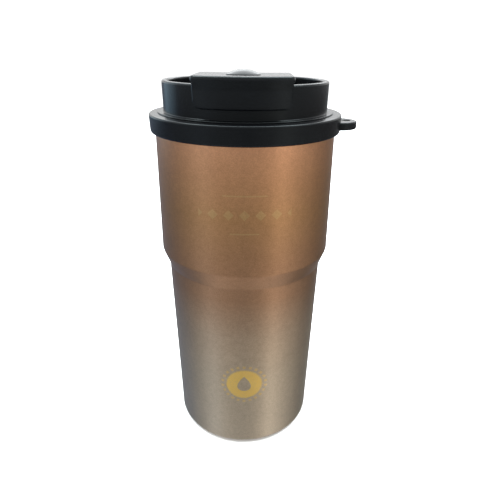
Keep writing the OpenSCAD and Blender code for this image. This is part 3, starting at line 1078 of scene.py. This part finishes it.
def make_dome(finish):
    """Domed head of the stopper's stem, standing in the dish."""
    steps = 20
    stem_round = 0.3
    skirt_draft = 0.3
    skirt_h = 0.25
    rim_round = 0.15
    rise = dome_high.z - FLAP_TOP
    skirt = FLAP_TOP - 0.65
    ball_r = (DOME_R ** 2 + rise ** 2) / (2 * rise)
    reach = math.asin((DOME_R - rim_round) / ball_r)
    line = [
        (0, dome_low.z, 0),
        (STEM_R, dome_low.z, stem_round),
        (STEM_R, skirt, 0),
        (DOME_R - skirt_draft, skirt, 0),
        (DOME_R, skirt + skirt_h, rim_round)]
    for k in range(steps + 1):
        t = reach * (1 - k / steps)
        line.append((ball_r * math.sin(t), dome_high.z - ball_r * (1 - math.cos(t)), 0))
    dome = moved(turned(line, steps=128), (0, DRINK_Y, 0))
    piece(dome, "stopper_head", "flap", finish, ["stopper_cap"])


def make_stoppers(finish):
    """Silicone stopper for the drinking hole, and the nub for the air hole."""
    seat = WELL_Z + SEAT_GAP
    socket_z = BOSS_Z - FIT_GAP
    make_drink_stopper(finish, seat, socket_z)
    make_air_nub(finish, seat, socket_z)


def make_drink_stopper(finish, seat, socket_z):
    """Stopper with a nose in the hole, a head on the well and a socket round the boss."""
    head_r = stopper_high.x
    nose = stopper_low.z
    top = stopper_high.z
    nose_r = 3.0
    nose_round = 0.6
    head_round = 0.5
    small_round = 0.2
    neck_r = DRINK_R - 0.8
    socket_r = BOSS_R + FIT_GAP
    stem_r = STEM_R + FIT_GAP
    stem_z = BOSS_Z - 1.5
    stopper = turned([
        (0, nose, 0),
        (nose_r, nose, nose_round),
        (neck_r, seat, small_round),
        (head_r, seat, head_round),
        (head_r, top, head_round),
        (socket_r, top, small_round),
        (socket_r, socket_z, 0),
        (stem_r, socket_z, 0),
        (stem_r, stem_z, 0),
        (0, stem_z, 0)], steps=128)
    moved(stopper, (0, DRINK_Y, 0))
    piece(stopper, "drink_stopper", "flap", finish, ["stopper"])


def make_air_nub(finish, seat, socket_z):
    """Nub with a pointed nose, a head on the well and a socket round its boss."""
    head_r = vent_high.x
    nose = vent_low.z
    top = vent_high.z
    nose_r = 0.6
    nose_round = 0.15
    head_round = 0.4
    small_round = 0.1
    neck_r = VENT_R - 0.6
    socket_r = VENT_BOSS_R + FIT_GAP
    nub = turned([
        (0, nose, 0),
        (nose_r, nose, nose_round),
        (neck_r, seat, small_round),
        (head_r, seat, head_round),
        (head_r, top, head_round),
        (socket_r, top, small_round),
        (socket_r, socket_z, 0),
        (0, socket_z, 0)], steps=96)
    moved(nub, (0, VENT_Y, 0))
    piece(nub, "air_nub", "flap", finish, ["vent_plug"])


def make_pin(finish):
    """Hinge pin with rounded ends."""
    end_round = 0.25
    pin = along_hinge(PIN_R, pin_high.x - pin_low.x, end_round)
    piece(pin, "pin_rod", "lid", finish, ["hinge_pin"])


# ---------------------------------------------------------------- camera and stage

def make_camera():
    """Close viewpoint, a little above the lid, looking down at the cup."""
    distance = 0.2043
    height = 0.1898
    pitch = 0.4304
    yaw = -0.0134
    roll = 0.0105
    orbit = Matrix.Rotation(math.radians(2.0), 4, "Z")
    focal_share = 0.8732
    data = bpy.data.cameras.new("camera")
    data.sensor_width = 36.0
    data.lens = focal_share * data.sensor_width
    data.clip_start = 0.005
    camera = bpy.data.objects.new("camera", data)
    bpy.context.scene.collection.objects.link(camera)
    turn = (Matrix.Rotation(yaw, 4, "Z") @ Matrix.Rotation(math.pi / 2 - pitch, 4, "X")
            @ Matrix.Rotation(roll, 4, "Z"))
    camera.matrix_world = orbit @ Matrix.Translation((0, -distance, height)) @ turn
    bpy.context.scene.camera = camera


def area_light(name, azimuth, distance, height, size, power, colour):
    """Soft box at an azimuth counted from the front (-Y) towards +X, facing the cup."""
    aim_z = 0.1
    data = bpy.data.lights.new(name, "AREA")
    data.shape = "RECTANGLE"
    data.size, data.size_y = size
    data.energy = power
    data.color = colour
    light = bpy.data.objects.new(name, data)
    bpy.context.scene.collection.objects.link(light)
    angle = math.radians(azimuth)
    place = Vector((math.sin(angle) * distance, -math.cos(angle) * distance, height))
    aim = (Vector((0, 0, aim_z)) - place).to_track_quat("-Z", "Y")
    light.matrix_world = Matrix.Translation(place) @ aim.to_matrix().to_4x4()


def studio_world():
    """Pale surroundings. The floor hides the part below the horizon, which only lends its soft
    bands to the reflections on the cup's upright walls."""
    world = bpy.data.worlds.new("studio")
    world.use_nodes = True
    n = Nodes(world.node_tree)
    x, y, z = n.node("SeparateXYZ", {0: n.node("TexCoord").outputs["Generated"]}).outputs
    azimuth = n.math("ARCTAN2", x, n.math("MULTIPLY", y, -1))
    stops = []
    for degrees, level, tint in SIDE_LIGHT:
        stops.append(((degrees + 180) / 360, [level * c for c in tint]))
    bands = n.ramp(n.share(azimuth, -math.pi, math.pi), stops, "EASE")
    sideways = n.math("MULTIPLY", n.math("ABSOLUTE", x), DEEP_SIDE_LIGHT)
    deep = n.math("ADD", sideways, DEEP_LIGHT)
    lower = n.mix(n.share(z, *DEEP_FADE), bands, deep)
    whole = n.mix(n.share(z, *HORIZON_FADE), lower, grey(SKY_LIGHT))
    n.feed(n.tree.nodes["Background"].inputs["Color"], whole)
    bpy.context.scene.world = world


def make_floor():
    """Wide white floor, left out of reflections and shadows."""
    half = 12.0
    mesh = bpy.data.meshes.new("floor")
    mesh.from_pydata([(-half, -half, 0), (half, -half, 0), (half, half, 0), (-half, half, 0)],
                     [], [(0, 1, 2, 3)])
    floor = bpy.data.objects.new("floor", mesh)
    bpy.context.scene.collection.objects.link(floor)
    floor.visible_glossy = False
    floor.visible_shadow = False
    mesh.materials.append(Finish("floor_white", Base_Color=grey(0.95), Roughness=0.8).material)


def make_stage():
    """Plain pale floor, plain pale surroundings and soft lights."""
    studio_world()
    for light in LIGHTS:
        area_light(*light)
    make_floor()


# ---------------------------------------------------------------- the tumbler

def make_tumbler():
    """All pieces, and the finishes of the CAD nodes that are kept as they are."""
    steel = brushed_steel()
    rubber = silicone()
    gloss = lid_plastic()
    make_shell(shell_paint())
    make_liner(steel)
    make_pad(pad_rubber())
    make_collar(gloss)
    make_top(gloss)
    make_plug(plug_plastic())
    make_gasket(rubber)
    make_flap(gloss)
    make_dome(gloss)
    make_stoppers(rubber)
    make_pin(pin_steel())
    kept = {"foil_wrap": copper_foil(), "vacuum_base": steel, "seal_bead": solder(),
            "getter": getter_pellet(), "getter_clip": steel, "base_cap": steel,
            "plug_foam": foam(), "passage_seal": rubber}
    for node, finish in kept.items():
        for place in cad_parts[node].material_slots:
            place.material = finish


make_tumbler()
make_camera()
make_stage()
bpy.context.scene.view_settings.view_transform = "Standard"
